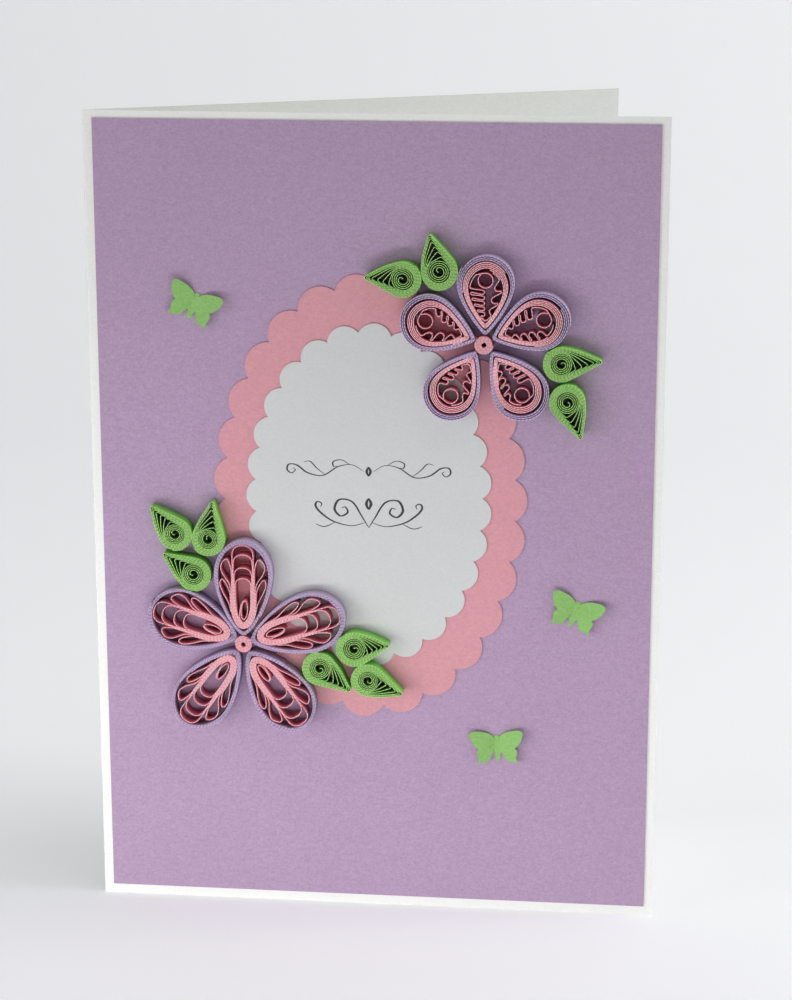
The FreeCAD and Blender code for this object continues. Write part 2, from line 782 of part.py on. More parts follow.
pink_centre = (PINK_OVAL_CENTRE[0] * LEAF_WIDTH, PINK_OVAL_CENTRE[1] * LEAF_HEIGHT)
white_centre = (WHITE_OVAL_CENTRE[0] * LEAF_WIDTH, WHITE_OVAL_CENTRE[1] * LEAF_HEIGHT)
pink_valleys, pink_crowns = scallop_points(PINK_OVAL_WIDTH, PINK_OVAL_HEIGHT, PINK_SCALLOPS, PINK_SCALLOP_RISE,
                                           PINK_SCALLOP_PHASE, pink_centre)
white_valleys, white_crowns = scallop_points(WHITE_OVAL_WIDTH, WHITE_OVAL_HEIGHT, WHITE_SCALLOPS,
                                             WHITE_SCALLOP_RISE, WHITE_SCALLOP_PHASE, white_centre)
pink_outline = scallop_outline(pink_valleys, pink_crowns)
white_outline = scallop_outline(white_valleys, white_crowns)


def level_for(outline):
    if overlaps(outline, white_outline):
        return WHITE_TOP
    if overlaps(outline, pink_outline):
        return PINK_TOP
    return PANEL_TOP


front_pieces = {}

panel_width = LEAF_WIDTH - PANEL_MARGIN_FOLD - PANEL_MARGIN_OPEN
panel_height = LEAF_HEIGHT - PANEL_MARGIN_BOTTOM - PANEL_MARGIN_TOP
front_pieces["lilac_panel"] = Part.makeBox(panel_width, panel_height, PANEL_SHEET,
                                           Vector(PANEL_MARGIN_FOLD, PANEL_MARGIN_BOTTOM, 0))
front_pieces["pink_oval"] = scalloped_sheet(pink_valleys, pink_crowns, PINK_OVAL_SHEET, PANEL_TOP)
front_pieces["white_oval"] = scalloped_sheet(white_valleys, white_crowns, WHITE_OVAL_SHEET, PINK_TOP)

outlines = {}


def put_strip(name, paths_degrees_at, level):
    points, degrees, at = paths_degrees_at
    front_pieces[name] = strip_solid(placed(points, degrees, at), level)


# Lower flower: direction, tip's place round the coil, length, width, lean of the eye, hand
LOW_PETALS = (
    (90.0, 84.0, 18.5, 10.9, -0.3, 1.0),
    (18.5, 35.0, 18.5, 11.4, -0.2, -1.0),
    (-53.5, -56.0, 17.9, 11.2, -0.1, 1.0),
    (-126.0, -130.0, 18.3, 11.1, -0.1, -1.0),
    (162.5, 131.0, 17.3, 11.6, -0.1, 1.0),
)
low_at = (LOW_FLOWER_AT[0] * LEAF_WIDTH, LOW_FLOWER_AT[1] * LEAF_HEIGHT)
low_coil = circle_outline(LOW_COIL_DIAMETER / 2.0, low_at)
neighbours = [low_coil]
low_centre_level = level_for(low_coil)
put_strip("low_centre", (coil_path(LOW_COIL_DIAMETER), 0.0, low_at), low_centre_level)
outlines["low_centre"] = low_coil
for number, (degrees, tip_at, length, width, eye_lean, hand) in enumerate(LOW_PETALS, 1):
    petal = Petal(length, width, 0.41, 1.4, 1.12)
    tip = add(low_at, turned((LOW_COIL_DIAMETER / 2.0 + PIECE_GAP, 0.0), tip_at))
    outline = placed(petal.outline(0.0), degrees, tip)
    shift = settled(outline, degrees, neighbours)
    tip = add(tip, shift)
    outline = placed(petal.outline(0.0), degrees, tip)
    neighbours.append(outline)
    outlines["low_petal_%d" % number] = outline
    level = level_for(outline)
    wall = wall_path(petal, LOW_WALL_TURNS, PITCH, 0.0, 0.08 + 0.17 * number)
    put_strip("low_wall_%d" % number, (wall, degrees, tip), level)
    depth = PITCH * LOW_WALL_TURNS + STRIP_THICKNESS
    loops = looped_path(petal, depth, LOBE_TOPS, eye_lean, hand)
    put_strip("low_loops_%d" % number, (loops, degrees, tip), level)

# Upper flower: direction, tip's place round the coil, length, width, the ring's place, hand, and the hairpins
# along the left and the right side: start below the ring, half width where they end, count, reach, slant, bulb
HIGH_PETALS = (
    (89.5, 82.0, 14.7, 10.4, (0.35, 0.10), 1.0, (1.3, 0.9, 5, 0.92, 0.3, 0.42), (-0.2, 1.0, 3, 0.62, 0.5, 0.62)),
    (20.5, 38.0, 14.7, 10.6, (0.25, 0.10), 1.0, (1.2, 1.0, 4, 0.66, 0.3, 0.50), (0.4, 1.0, 4, 0.60, 0.3, 0.55)),
    (-53.5, -43.0, 14.4, 10.2, (0.30, -0.1), 1.0, (1.6, 1.0, 4, 0.75, 0.3, 0.45), (0.4, 1.0, 4, 0.62, 0.3, 0.55)),
    (-121.0, -134.0, 14.1, 10.3, (0.30, -0.2), -1.0, (0.9, 1.0, 4, 0.62, 0.3, 0.55), (0.3, 1.0, 3, 0.64, 0.3, 0.62)),
    (160.5, 149.0, 14.3, 10.5, (0.30, 0.10), -1.0, (0.9, 1.0, 4, 0.62, 0.3, 0.55), (0.2, 1.0, 3, 0.66, 0.4, 0.70)),
)
high_at = (HIGH_FLOWER_AT[0] * LEAF_WIDTH, HIGH_FLOWER_AT[1] * LEAF_HEIGHT)
high_coil = circle_outline(HIGH_COIL_DIAMETER / 2.0, high_at)
neighbours = [high_coil]
put_strip("high_centre", (coil_path(HIGH_COIL_DIAMETER), 90.0, high_at), level_for(high_coil))
outlines["high_centre"] = high_coil
for number, row in enumerate(HIGH_PETALS, 1):
    degrees, tip_at, length, width, ring, hand, left, right = row
    petal = Petal(length, width, 0.53, 1.0, 1.35)
    tip = add(high_at, turned((HIGH_COIL_DIAMETER / 2.0 + PIECE_GAP, 0.0), tip_at))
    outline = placed(petal.outline(0.0), degrees, tip)
    shift = settled(outline, degrees, neighbours)
    tip = add(tip, shift)
    outline = placed(petal.outline(0.0), degrees, tip)
    neighbours.append(outline)
    outlines["high_petal_%d" % number] = outline
    level = level_for(outline)
    wall = wall_path(petal, HIGH_WALL_TURNS, HIGH_WALL_PITCH, 0.0, 0.05 + 0.21 * number)
    put_strip("high_wall_%d" % number, (wall, degrees, tip), level)
    depth = HIGH_WALL_PITCH * HIGH_WALL_TURNS + STRIP_THICKNESS + 2.0 * PIECE_GAP
    band = wall_path(petal, HIGH_BAND_TURNS, HIGH_BAND_PITCH, depth, 0.4 + 0.13 * number)
    put_strip("high_band_%d" % number, (band, degrees, tip), level)
    depth += HIGH_BAND_PITCH * HIGH_BAND_TURNS + STRIP_THICKNESS
    pins = hairpin_path(petal, depth, ring, left, right, hand)
    put_strip("high_loops_%d" % number, (pins, degrees, tip), level)

# Leaves: flower that they lie against, coil's place from that flower's centre, direction, length,
# half width, hand, direction in which the leaf gives way to its neighbours
LEAVES = (
    ("a3", "low", (-9.04, 13.1), 146.0, 10.5, 3.3, -1.0, 125.0),
    ("a2", "low", (-6.09, 19.7), 83.0, 11.0, 3.2, -1.0, 110.0),
    ("a1", "low", (-12.44, 20.85), 131.0, 10.4, 3.2, -1.0, 125.0),
    ("b2", "low", (14.86, -4.4), -36.0, 10.9, 3.3, -1.0, -20.0),
    ("b1", "low", (20.56, -0.1), 8.0, 10.3, 3.4, -1.0, 0.0),
    ("b3", "low", (23.86, -6.3), -21.0, 10.6, 3.2, 1.0, -20.0),
    ("c2", "high", (-7.67, 12.36), 105.0, 10.7, 3.4, -1.0, 120.0),
    ("c1", "high", (-14.47, 11.56), 178.0, 10.7, 3.35, 1.0, 160.0),
    ("d1", "high", (13.43, -2.94), 5.0, 11.1, 3.3, -1.0, -35.0),
    ("d2", "high", (15.03, -10.19), -69.0, 11.0, 3.35, -1.0, -40.0),
)
for name, flower, offset, degrees, length, half_width, hand, give in LEAVES:
    points = leaf_path(length * LEAF_LENGTH / 10.7, half_width * LEAF_HALF_WIDTH / 3.3, hand)
    at = add(low_at if flower == "low" else high_at, offset)
    hull = hull_of(points, STRIP_THICKNESS / 2.0)
    outline = placed(hull, degrees, at)
    shift = settled(outline, give, list(outlines.values()))
    at = add(at, shift)
    outline = placed(hull, degrees, at)
    outlines["leaf_" + name] = outline
    put_strip("leaf_" + name, (points, degrees, at), level_for(outline))

# Butterflies: place as shares of the card, direction of the head
BUTTERFLIES = (
    ((0.187, 0.7665), 67.0),
    ((0.8525, 0.3935), 72.0),
    ((0.7195, 0.2165), 94.0),
)
for number, (share, head) in enumerate(BUTTERFLIES, 1):
    at = (share[0] * LEAF_WIDTH, share[1] * LEAF_HEIGHT)
    outline = butterfly_outline(head - 90.0, at)
    front_pieces["butterfly_%d" % number] = butterfly_solid(head - 90.0, at, level_for(outline))

# Stand the card up: the width along x, the front towards -y, the height along z
card, back_reach = folded_sheet()
front_reach = WHITE_TOP + STRIP_WIDTH
shift = Vector(-LEAF_WIDTH / 2.0, (front_reach - back_reach) / 2.0, 0)

os.makedirs("parts", exist_ok=True)
card.translate(shift)
card.exportStep("parts/card_base.step")
for name, shape in front_pieces.items():
    shape.rotate(Vector(0, 0, 0), Vector(1, 0, 0), 90)
    shape.translate(shift)
    shape.exportStep("parts/" + name + ".step")
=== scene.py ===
import math

import bpy
from mathutils import Matrix, Vector, noise


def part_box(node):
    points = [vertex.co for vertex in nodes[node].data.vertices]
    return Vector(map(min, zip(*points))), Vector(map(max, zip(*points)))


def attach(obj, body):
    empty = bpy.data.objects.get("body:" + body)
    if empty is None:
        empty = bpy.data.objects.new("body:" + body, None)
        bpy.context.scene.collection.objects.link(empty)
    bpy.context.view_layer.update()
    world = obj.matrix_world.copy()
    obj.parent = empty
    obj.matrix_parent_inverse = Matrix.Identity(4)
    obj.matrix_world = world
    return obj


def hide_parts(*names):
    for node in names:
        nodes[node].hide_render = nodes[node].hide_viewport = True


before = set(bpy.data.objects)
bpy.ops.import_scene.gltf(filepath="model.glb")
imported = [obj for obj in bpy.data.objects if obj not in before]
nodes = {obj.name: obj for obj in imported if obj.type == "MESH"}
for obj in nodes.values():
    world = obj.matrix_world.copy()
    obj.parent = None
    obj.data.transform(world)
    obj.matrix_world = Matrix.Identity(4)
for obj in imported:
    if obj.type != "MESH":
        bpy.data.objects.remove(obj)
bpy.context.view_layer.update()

MM = 0.001
TINY = 1e-6
scene = bpy.context.scene
collection = scene.collection


# Colours are written as they look on the page and turned to linear light here
def linear(rgb):
    out = []
    for value in rgb:
        c = value / 255.0
        out.append(c / 12.92 if c <= 0.04045 else ((c + 0.055) / 1.055) ** 2.4)
    return (out[0], out[1], out[2], 1.0)


def scaled(colour, factor):
    return tuple(min(1.0, c * factor) for c in colour[:3]) + (1.0,)


def grey(level):
    return (level, level, level, 1.0)


# Helpers for objects and meshes
def add_object(name, data):
    thing = bpy.data.objects.new(name, data)
    collection.objects.link(thing)
    return thing


def add_mesh(name, verts, faces, materials):
    mesh = bpy.data.meshes.new(name)
    mesh.from_pydata(verts, [], faces)
    for material in materials:
        mesh.materials.append(material)
    return mesh


# Helpers for node trees, where a value is either a number or the output of another node
def new_material(name):
    material = bpy.data.materials.new(name)
    material.use_nodes = True
    tree = material.node_tree
    return material, tree, tree.nodes["Principled BSDF"]


def feed(tree, socket, value):
    if isinstance(value, bpy.types.NodeSocket):
        tree.links.new(value, socket)
    else:
        socket.default_value = value


def add_node(tree, kind, values):
    node = tree.nodes.new(kind)
    for name, value in values.items():
        feed(tree, node.inputs[name], value)
    return node


def noise_field(tree, vector, scale, detail, rough, distortion=0.0):
    return add_node(tree, "ShaderNodeTexNoise", {
        "Vector": vector,
        "Scale": scale,
        "Detail": detail,
        "Roughness": rough,
        "Distortion": distortion,
    }).outputs["Fac"]


def ramp(tree, value, stops):
    node = tree.nodes.new("ShaderNodeValToRGB")
    elements = node.color_ramp.elements
    while len(elements) < len(stops):
        elements.new(0.5)
    for element, (place, colour) in zip(elements, stops):
        element.position = place
        element.color = colour
    tree.links.new(value, node.inputs["Fac"])
    return node.outputs["Color"]


def multiply(tree, a, b):
    node = tree.nodes.new("ShaderNodeMix")
    node.data_type = "RGBA"
    node.blend_type = "MULTIPLY"
    node.inputs[0].default_value = 1.0
    tree.links.new(a, node.inputs[6])
    tree.links.new(b, node.inputs[7])
    return node.outputs[2]


def maths(tree, operation, a, b):
    node = tree.nodes.new("ShaderNodeMath")
    node.operation = operation
    feed(tree, node.inputs[0], a)
    feed(tree, node.inputs[1], b)
    return node.outputs[0]


def bump(tree, height, strength, distance, under=None):
    node = add_node(tree, "ShaderNodeBump", {"Strength": strength, "Distance": distance, "Height": height})
    if under is not None:
        tree.links.new(under, node.inputs["Normal"])
    return node.outputs["Normal"]


def mapped(tree, vector, scale=(1.0, 1.0, 1.0), turn=0.0):
    values = {"Vector": vector, "Scale": scale, "Rotation": (0.0, 0.0, turn)}
    return add_node(tree, "ShaderNodeMapping", values).outputs["Vector"]


def surface(tree, shader, tint, normal, gloss):
    tree.links.new(tint, shader.inputs["Base Color"])
    tree.links.new(normal, shader.inputs["Normal"])
    for name, value in gloss.items():
        shader.inputs[name].default_value = value


# Sizes of the paper's grain, fibres and clouds, as waves in a metre
GRAIN_SCALE = 2600.0
FIBRE_SCALE = (900.0, 900.0, 2600.0)
CLOUD_SCALE = 38.0
GRAIN_HEIGHT = 0.03 * MM
FIBRE_HEIGHT = 0.04 * MM


# Card stock: fine grain, short fibres and a faint cloudiness
def paper(name, colour, grain, fibre, cloud, relief, rough=0.85, pearl=0.0):
    material, tree, shader = new_material(name)
    where = tree.nodes.new("ShaderNodeTexCoord").outputs["Object"]
    base = linear(colour)
    dark = scaled(base, 1.0 - 2.4 * grain)
    light = scaled(base, 1.0 + 2.0 * grain)
    fine = noise_field(tree, where, GRAIN_SCALE, 3.0, 0.6)
    tint = ramp(tree, fine, ((0.3, dark), (0.5, base), (0.7, light)))
    threads = noise_field(tree, mapped(tree, where, FIBRE_SCALE), 1.0, 2.0, 0.5, 1.2)
    shade = ramp(tree, threads, ((0.35, grey(1.0 - 2.0 * fibre)), (0.65, grey(1.0 + 1.4 * fibre))))
    tint = multiply(tree, tint, shade)
    clouds = noise_field(tree, where, CLOUD_SCALE, 3.0, 0.5)
    shade = ramp(tree, clouds, ((0.35, grey(1.0 - cloud)), (0.65, grey(1.0 + cloud))))
    tint = multiply(tree, tint, shade)
    normal = bump(tree, threads, relief, FIBRE_HEIGHT, bump(tree, fine, relief, GRAIN_HEIGHT))
    surface(tree, shader, tint, normal, {
        "Roughness": rough,
        "Specular IOR Level": 0.35,
        "Sheen Weight": 0.15 + pearl,
        "Sheen Roughness": 0.5,
    })
    return material


# Strips have a UV map in millimetres: along the strip, and across it from the back of one side over the
# cut edge to the back of the other
STRIP_ACROSS = (0.0, 2.9, 3.0, 3.1, 3.2, 6.1)
EDGE_MIDDLE = 3.05
SIDE_RELIEF_HEIGHT = 0.02 * MM
EDGE_RELIEF_HEIGHT = 0.04 * MM
RIDGE_SLANT = math.radians(38.0)


def strip_place(tree):
    node = tree.nodes.new("ShaderNodeUVMap")
    node.uv_map = "Strip"
    return node.outputs["UV"]


# Flat side of a quilling strip: fibres, and less light further down between the windings
def strip_side(name, colour):
    material, tree, shader = new_material(name)
    where = strip_place(tree)
    base = linear(colour)
    fibres = noise_field(tree, mapped(tree, where, (3.0, 9.0, 1.0)), 1.0, 4.0, 0.6, 0.4)
    tint = ramp(tree, fibres, ((0.3, scaled(base, 0.86)), (0.5, base), (0.72, scaled(base, 1.1))))
    across = add_node(tree, "ShaderNodeSeparateXYZ", {"Vector": where}).outputs["Y"]
    from_back = maths(tree, "DIVIDE", maths(tree, "PINGPONG", across, EDGE_MIDDLE), EDGE_MIDDLE)
    tint = multiply(tree, tint, ramp(tree, from_back, ((0.3, grey(0.7)), (0.9, grey(1.0)))))
    normal = bump(tree, fibres, 0.3, SIDE_RELIEF_HEIGHT)
    surface(tree, shader, tint, normal, {"Roughness": 0.75, "Specular IOR Level": 0.3})
    return material


# Cut edge of a quilling strip, which faces the viewer: slanted ridges like a fine cord, coloured with a
# painted highlight on the ridges and painted shade between them, and flecks
def strip_edge(name, ridge_lit_colour, ridge_shaded_colour):
    material, tree, shader = new_material(name)
    where = strip_place(tree)
    ridges = add_node(tree, "ShaderNodeTexWave", {
        "Vector": mapped(tree, where, turn=RIDGE_SLANT),
        "Scale": 0.62,
        "Distortion": 2.2,
        "Detail": 2.0,
        "Detail Scale": 1.6,
    }).outputs["Fac"]
    # painted highlight on the ridges, painted shade between them
    tint = ramp(tree, ridges, ((0.12, linear(ridge_shaded_colour)), (0.5, linear(ridge_lit_colour))))
    flecks = noise_field(tree, mapped(tree, where, (5.0, 12.0, 1.0)), 1.0, 3.0, 0.6)
    tint = multiply(tree, tint, ramp(tree, flecks, ((0.35, grey(0.86)), (0.65, grey(1.1)))))
    normal = bump(tree, maths(tree, "ADD", ridges, flecks), 0.5, EDGE_RELIEF_HEIGHT)
    surface(tree, shader, tint, normal, {"Roughness": 0.9, "Specular IOR Level": 0.2})
    return material


# Sheets of paper that keep their CAD shape
CARD = paper("card_stock", (240, 241, 237), 0.012, 0.01, 0.01, 0.15)
LILAC = paper("lilac_stock", (176, 150, 180), 0.05, 0.03, 0.012, 0.35, pearl=0.1)
PINK = paper("pink_stock", (213, 152, 162), 0.03, 0.02, 0.012, 0.3)
WHITE = paper("white_stock", (206, 207, 207), 0.015, 0.012, 0.01, 0.2)
GREEN = paper("green_stock", (140, 188, 108), 0.05, 0.03, 0.02, 0.35)
SHEETS = {
    "card_base": CARD,
    "lilac_panel": LILAC,
    "pink_oval": PINK,
    "white_oval": WHITE,
    "butterfly_1": GREEN,
    "butterfly_2": GREEN,
    "butterfly_3": GREEN,
}
for name, material in SHEETS.items():
    sheet = nodes[name].data
    sheet.materials.clear()
    sheet.materials.append(material)

# Materials of the strips: side, cut edge and, for a leaf, a darker copy of the side as painted shade on the
# sides that only show between windings
SIDE, EDGE, PAINTED_SHADE_GAP = 0, 1, 2
STRIPS = {
    "lilac_strip": (
        strip_side("lilac_side", (202, 182, 214)),
        strip_edge("lilac_edge", (218, 198, 226), (160, 136, 176)),
    ),
    "pink_strip": (
        strip_side("pink_side", (238, 142, 160)),
        strip_edge("pink_edge", (255, 212, 218), (238, 160, 174)),
    ),
    "green_strip": (
        strip_side("green_side", (142, 218, 98)),
        strip_edge("green_edge", (210, 255, 166), (150, 222, 104)),
        # darker green side: painted shade between a leaf's windings
        strip_side("green_gap_painted_shade", (84, 144, 54)),
    ),
}


# Loop round the cut edge of a wound strip, read from the frame, as points (x, z)
def edge_loop(node):
    mesh = nodes[node].data
    front = min(v.co.y for v in mesh.vertices)
    spots = {}
    edges = {}
    for face in mesh.polygons:
        corners = [mesh.vertices[i].co for i in face.vertices]
        if max(c.y for c in corners) - front > TINY:
            continue
        keys = []
        for c in corners:
            key = (round(c.x * 1e7), round(c.z * 1e7))
            spots[key] = (c.x, c.z)
            keys.append(key)
        for a, b in zip(keys, keys[1:] + keys[:1]):
            if (b, a) in edges:
                del edges[(b, a)]
            else:
                edges[(a, b)] = True
    following = {a: b for a, b in edges}
    start = next(iter(following))
    loop = [start]
    while following[loop[-1]] != start:
        loop.append(following[loop[-1]])
    return [spots[key] for key in loop], front


# Helpers for lines of points in a plane
def distance(a, b):
    return math.hypot(b[0] - a[0], b[1] - a[1])


def turn_at(a, b, c):
    first = math.atan2(b[1] - a[1], b[0] - a[0])
    second = math.atan2(c[1] - b[1], c[0] - b[0])
    return (second - first + math.pi) % (2.0 * math.pi) - math.pi


def left_of(line, k, reach=1):
    a, b = line[max(0, k - reach)], line[min(len(line) - 1, k + reach)]
    length = max(distance(a, b), TINY)
    return -(b[1] - a[1]) / length, (b[0] - a[0]) / length


def resample(points, step):
    total = [0.0]
    for a, b in zip(points, points[1:]):
        total.append(total[-1] + distance(a, b))
    count = max(2, int(round(total[-1] / step)))
    out = []
    i = 0
    for k in range(count + 1):
        goal = total[-1] * k / count
        while i < len(points) - 2 and total[i + 1] < goal:
            i += 1
        span = total[i + 1] - total[i]
        share = (goal - total[i]) / span if span > 0 else 0.0
        a, b = points[i], points[i + 1]
        out.append((a[0] + (b[0] - a[0]) * share, a[1] + (b[1] - a[1]) * share))
    return out


def smooth(points, times):
    for _ in range(times):
        inner = []
        for a, b, c in zip(points, points[1:], points[2:]):
            inner.append(((a[0] + 2 * b[0] + c[0]) / 4.0, (a[1] + 2 * b[1] + c[1]) / 4.0))
        points = [points[0]] + inner + [points[-1]]
    return points


# The strip's thickness and width as in the CAD, and the steps along its line
STRIP_THICKNESS = 0.12 * MM
STRIP_WIDTH = 3.0 * MM
FINE_STEP = 0.05 * MM
STATION = 0.15 * MM
END_SLACK = 0.2
LENGTH_WEIGHT = 5.0


# Middle line of a wound strip: one long side of its cut edge, moved in by half the thickness
def middle_line(node):
    loop, front = edge_loop(node)
    count = len(loop)
    # The two ends are the short edges, as long as the strip is thick, between two square corners
    ends = []
    for i in range(count):
        a, b, c, d = (loop[(i + k) % count] for k in (-1, 0, 1, 2))
        off = abs(distance(b, c) / STRIP_THICKNESS - 1.0)
        one, two = turn_at(a, b, c), turn_at(b, c, d)
        if off < END_SLACK and one * two > 0.0:
            ends.append((abs(abs(one + two) - math.pi) + LENGTH_WEIGHT * off, i))
    i, j = sorted(i for _, i in sorted(ends)[:2])
    side = resample([loop[k % count] for k in range(i + 1, j + 1)], FINE_STEP)
    # The strip lies on the same hand of its side as the loop's inside
    area = sum(a[0] * b[1] - b[0] * a[1] for a, b in zip(loop, loop[1:] + loop[:1]))
    inwards = math.copysign(STRIP_THICKNESS / 2.0, area)
    line = []
    for k, p in enumerate(side):
        nx, nz = left_of(side, k, 2)
        line.append((p[0] + inwards * nx, p[1] + inwards * nz))
    return resample(smooth(line, 3), STATION), front


# Faces of the swept ring: the strip's left side, the three of its cut edge and its right side
RING_POINTS = 6
LEFT_FACE, EDGE_FACES, RIGHT_FACE = 0, (1, 2, 3), 4
# Stations that tell a coil's inner end, which curves more, from its outer end
END_STATIONS = 60


# Stations of a coil's outermost turn, and which face of the swept ring looks outwards there
def outer_turn(line):
    turns = [turn_at(a, b, c) for a, b, c in zip(line, line[1:], line[2:])]
    reach = min(END_STATIONS, len(turns) // 3)
    inner_first = sum(abs(t) for t in turns[:reach]) > sum(abs(t) for t in turns[-reach:])
    order = range(len(turns) - 1, -1, -1) if inner_first else range(len(turns))
    total = 0.0
    last = 0
    for k in order:
        total += turns[k]
        last = k
        if abs(total) > 2.0 * math.pi:
            break
    side = LEFT_FACE if sum(turns) > 0.0 else RIGHT_FACE
    return (last, len(line), side) if inner_first else (0, last, side)


# Half the drawn width of a cut edge, in strip thicknesses: thin rims on the leaves, full ones on tight bands
RIM_HALF = {"leaf": 0.43, "high_wall": 0.66, "high_band": 0.64}
USUAL_RIM_HALF = 0.52
# Rounding of the cut edge, how far it wanders below the front and dips with its twist, all in millimetres,
# and how far it leans, as a share of half its width
ROUNDING = 0.05
WANDER = 0.05
WANDER_RATE = 0.16
DIP = 0.02
LEAN = 0.35
TWIST_PERIOD = 0.56
TWIST_DRIFT = 0.8
TWIST_DRIFT_RATE = 0.4


# The swept ring at a station, as points (left of the line, y)
def strip_ring(s, seed, half, front):
    drift = TWIST_DRIFT * noise.noise(Vector((s * TWIST_DRIFT_RATE, seed, 3.0)))
    twist = math.sin(2.0 * math.pi * s / TWIST_PERIOD + drift)
    wander = WANDER * (1.0 + noise.noise(Vector((s * WANDER_RATE, seed * 7.3, 0.0))))
    top = front + (wander + DIP * (1.0 - twist)) * MM
    shoulder = top + ROUNDING * MM
    back = front + STRIP_WIDTH
    lean = LEAN * twist * half
    return (
        (-half, back),
        (-half, shoulder),
        (-0.5 * half + lean, top),
        (0.5 * half + lean, top),
        (half, shoulder),
        (half, back),
    )


# A strip swept along its middle line: flat sides and a soft, twisted-looking cut edge
def dress(node, slot, seed):
    line, front = middle_line(node)
    half = RIM_HALF.get(node.rsplit("_", 1)[0], USUAL_RIM_HALF) * STRIP_THICKNESS
    verts = []
    uvs = []
    along = 0.0
    for k, p in enumerate(line):
        nx, nz = left_of(line, k)
        if k:
            along += distance(line[k - 1], p)
        s = along / MM
        for (left, y), across in zip(strip_ring(s, seed, half, front), STRIP_ACROSS):
            verts.append((p[0] + nx * left, y, p[1] + nz * left))
            uvs.append((s, across))
    faces = []
    kinds = []
    open_from, open_to, open_face = outer_turn(line)
    for k in range(len(line) - 1):
        for r in range(RING_POINTS):
            a, b = k * RING_POINTS + r, k * RING_POINTS + (r + 1) % RING_POINTS
            faces.append((a, a + RING_POINTS, b + RING_POINTS, b))
            if r in EDGE_FACES:
                kinds.append(EDGE)
            # on a leaf, every side but the outer face of the outermost turn gets the painted shade
            elif slot == "green_strip" and not (open_from <= k <= open_to and r == open_face):
                kinds.append(PAINTED_SHADE_GAP)
            else:
                kinds.append(SIDE)
    last = (len(line) - 1) * RING_POINTS
    faces += [(0, 1, 4, 5), (1, 2, 3, 4)]
    faces += [(last + 5, last + 4, last + 1, last), (last + 4, last + 3, last + 2, last + 1)]
    kinds += [SIDE, EDGE, SIDE, EDGE]
    mesh = add_mesh(node + "_paper", verts, faces, STRIPS[slot])
    mesh.polygons.foreach_set("material_index", kinds)
    mesh.polygons.foreach_set("use_smooth", [True] * len(faces))
    layer = mesh.uv_layers.new(name="Strip")
    for corner, loop in enumerate(mesh.loops):
        layer.data[corner].uv = uvs[loop.vertex_index]
    mesh.update()
    piece = add_object(node + "_paper", mesh)
    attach(piece, "root")
    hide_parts(node)


def strip_slot(node):
    if node.startswith(("low_wall", "high_wall")):
        return "lilac_strip"
    if node.startswith(("low_", "high_")):
        return "pink_strip"
    return "green_strip"


WOUND = sorted(name for name in nodes if name.startswith(("low_", "high_", "leaf_")))
for seed, name in enumerate(WOUND):
    dress(name, strip_slot(name), seed)


# Printed ornament on the white oval: scrolls drawn with a pen that swells in the middle of each stroke.
# Each line has its middle on the card and its strokes, which are mirrored to the left. A stroke is a list
# of points (right, up) from that middle, and a pen width, all in millimetres.
INK = paper("ink", (48, 45, 50), 0.08, 0.06, 0.04, 0.2, rough=0.5)
INK_DEPTH = 0.01 * MM
INK_CLEARANCE = 0.012 * MM
STROKE_STEP_OUT = 0.0004 * MM
STROKE_STATIONS = 10
ORNAMENT = (
    ((-0.9, 85.0), (
        (((0.9, 0.0), (3.0, 1.2), (5.6, 0.8), (8.4, -0.9), (11.2, -0.5), (13.2, 0.9), (14.7, 1.0),
          (15.0, 0.0), (14.2, -0.6), (13.5, 0.0), (14.0, 0.4)), 0.34),
        (((3.4, 1.2), (5.0, 2.1), (6.5, 1.7), (6.4, 0.8), (5.7, 0.9)), 0.26),
        (((8.0, -0.8), (9.6, 0.5), (10.8, 1.7), (12.0, 1.5)), 0.24),
        (((0.0, 0.9), (0.35, 0.0), (0.0, -0.9)), 0.5),
    )),
    ((-0.9, 77.0), (
        (((0.0, -2.6), (1.2, -0.6), (3.0, 2.2), (5.4, 2.6), (6.3, 0.8), (5.2, -0.5), (3.9, 0.2),
          (4.3, 1.2), (5.0, 1.0)), 0.46),
        (((0.6, -1.6), (3.2, -2.3), (6.4, -1.6), (8.6, -0.2), (9.8, 1.2), (9.5, 2.1), (8.7, 1.8),
          (8.9, 1.1)), 0.40),
        (((6.2, -1.7), (8.2, -2.6), (9.9, -2.1)), 0.26),
        (((0.0, 3.0), (0.42, 1.9), (0.0, 0.8)), 0.55),
    )),
)


# A point between q and r on the smooth curve through p, q, r and w
def between(p, q, r, w, t):
    square = 2 * p - 5 * q + 4 * r - w
    cube = 3 * q - p - 3 * r + w
    return 0.5 * (2 * q + (r - p) * t + square * t * t + cube * t ** 3)


# A closed ribbon along a smooth line through the points, INK_DEPTH thick
def pen_stroke(points, width, verts, faces, y):
    ends = [points[0]] + list(points) + [points[-1]]
    line = []
    for four in zip(ends, ends[1:], ends[2:], ends[3:]):
        for k in range(STROKE_STATIONS):
            line.append(tuple(between(*values, k / STROKE_STATIONS) for values in zip(*four)))
    line.append(points[-1])
    first = len(verts)
    for k, p in enumerate(line):
        nx, nz = left_of(line, k)
        swell = 0.22 + 0.78 * math.sin(math.pi * k / (len(line) - 1)) ** 0.8
        half = width / 2.0 * swell * (0.55 + 0.45 * abs(nx))
        for hand, depth in ((1.0, 0.0), (-1.0, 0.0), (-1.0, INK_DEPTH), (1.0, INK_DEPTH)):
            verts.append(((p[0] + hand * half * nx) * MM, y + depth, (p[1] + hand * half * nz) * MM))
    last = len(verts) - 4
    faces += [(first + 3, first + 2, first + 1, first), (last, last + 1, last + 2, last + 3)]
    for i in range(first, last, 4):
        for r in range(4):
            q = (r + 1) % 4
            faces.append((i + r, i + q, i + 4 + q, i + 4 + r))


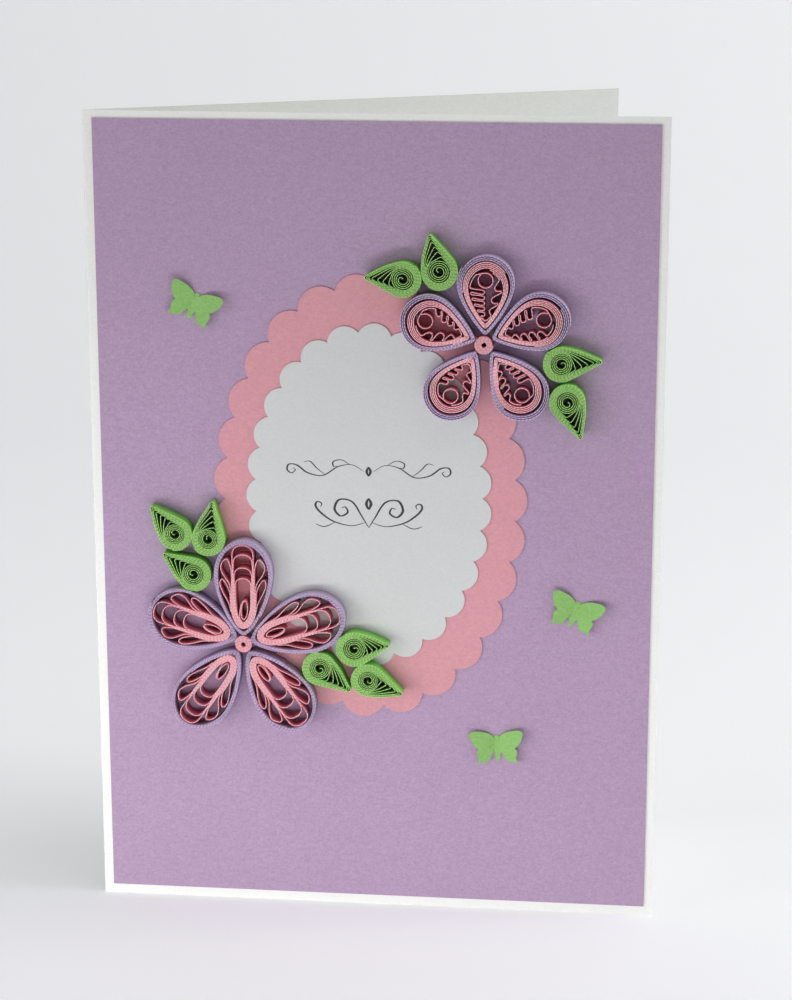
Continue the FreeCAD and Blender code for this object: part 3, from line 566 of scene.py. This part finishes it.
def ornament():
    verts, faces = [], []
    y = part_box("white_oval")[0][1] - INK_CLEARANCE
    for (x, z), strokes in ORNAMENT:
        for points, width in strokes:
            for side in (1.0, -1.0):
                pen_stroke([(x + side * p[0], z + p[1]) for p in points], width, verts, faces, y)
                y -= STROKE_STEP_OUT
    piece = add_object("printed_ornament", add_mesh("printed_ornament", verts, faces, [INK]))
    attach(piece, "root")


ornament()


# Camera at the photograph's place
camera_data = bpy.data.cameras.new("camera")
camera = add_object("camera", camera_data)
scene.camera = camera
camera_data.sensor_fit = "AUTO"
camera_data.sensor_width = 36.0
camera_data.lens = 96.24
camera_data.clip_start = 0.01
camera_data.clip_end = 20.0
right = Vector((0.99370, 0.11203, -0.00088))
up = Vector((-0.02764, 0.25274, 0.96714))
away = Vector((-0.10857, 0.96103, -0.25425))
turn = Matrix((right, up, -away)).transposed()
camera.matrix_world = Matrix.Translation(Vector((57.136, -491.56, 203.94)) * MM) @ turn.to_4x4()

# Sizes of the floor and backdrop, in metres, and how bright the camera sees them beside the light on them
FLOOR_HALF = 1.6
BEND_START = 0.35
BEND_RADIUS = 0.45
BEND_STEPS = 12
WALL_TOP = 1.7
SEEN_BRIGHTER = 0.2


# Pale floor that curves up into a backdrop
def backdrop():
    profile = [(-FLOOR_HALF, 0.0), (BEND_START, 0.0)]
    for i in range(1, BEND_STEPS + 1):
        angle = math.pi / 2.0 * i / BEND_STEPS
        profile.append((BEND_START + BEND_RADIUS * math.sin(angle), BEND_RADIUS * (1.0 - math.cos(angle))))
    profile.append((BEND_START + BEND_RADIUS, WALL_TOP))
    verts = [(x, y, z) for x in (-FLOOR_HALF, FLOOR_HALF) for y, z in profile]
    count = len(profile)
    faces = [(i, i + count, i + count + 1, i + 1) for i in range(count - 1)]
    material, tree, shader = new_material("backdrop")
    shader.inputs["Base Color"].default_value = linear((240, 241, 243))
    shader.inputs["Roughness"].default_value = 0.95
    shader.inputs["Emission Color"].default_value = (0.97, 0.98, 1.0, 1.0)
    seen = tree.nodes.new("ShaderNodeLightPath").outputs["Is Camera Ray"]
    tree.links.new(maths(tree, "MULTIPLY", seen, SEEN_BRIGHTER), shader.inputs["Emission Strength"])
    mesh = add_mesh("backdrop", verts, faces, [material])
    mesh.polygons.foreach_set("use_smooth", [True] * len(faces))
    piece = add_object("backdrop", mesh)
    return piece


# Soft lamps, with their place, the point they face, their size in metres and their power in watts
def area_light(name, place, target, size, power):
    data = bpy.data.lights.new(name, "AREA")
    data.shape = "RECTANGLE"
    data.size, data.size_y = size
    data.energy = power
    lamp = add_object(name, data)
    lamp.location = place
    lamp.rotation_mode = "QUATERNION"
    lamp.rotation_quaternion = (Vector(target) - Vector(place)).to_track_quat("-Z", "Y")
    return lamp


ground = backdrop()
area_light("top", (0.35, -0.1, 1.0), (0.0, 0.0, 0.1), (0.9, 0.7), 3.0)
area_light("left", (-1.0, -0.65, 0.25), (0.0, 0.0, 0.06), (0.6, 0.5), 3.4)
area_light("right", (0.9, 0.02, 0.4), (0.0, 0.02, 0.12), (0.4, 0.4), 4.2)
low = area_light("low", (-0.06, -0.16, 0.012), (-0.02, 0.0, 0.02), (0.34, 0.015), 0.2)

# The low light stands close to the floor, so the floor is left out of it and shows no bright patch
unlit = bpy.data.collections.new("not_lit_by_low")
unlit.objects.link(ground)
low.light_linking.receiver_collection = unlit
unlit.collection_objects[0].light_linking.link_state = "EXCLUDE"

world = bpy.data.worlds.new("world")
scene.world = world
world.use_nodes = True
world.node_tree.nodes["Background"].inputs["Color"].default_value = (1.0, 1.0, 1.0, 1.0)
world.node_tree.nodes["Background"].inputs["Strength"].default_value = 0.25

scene.view_settings.view_transform = "Standard"
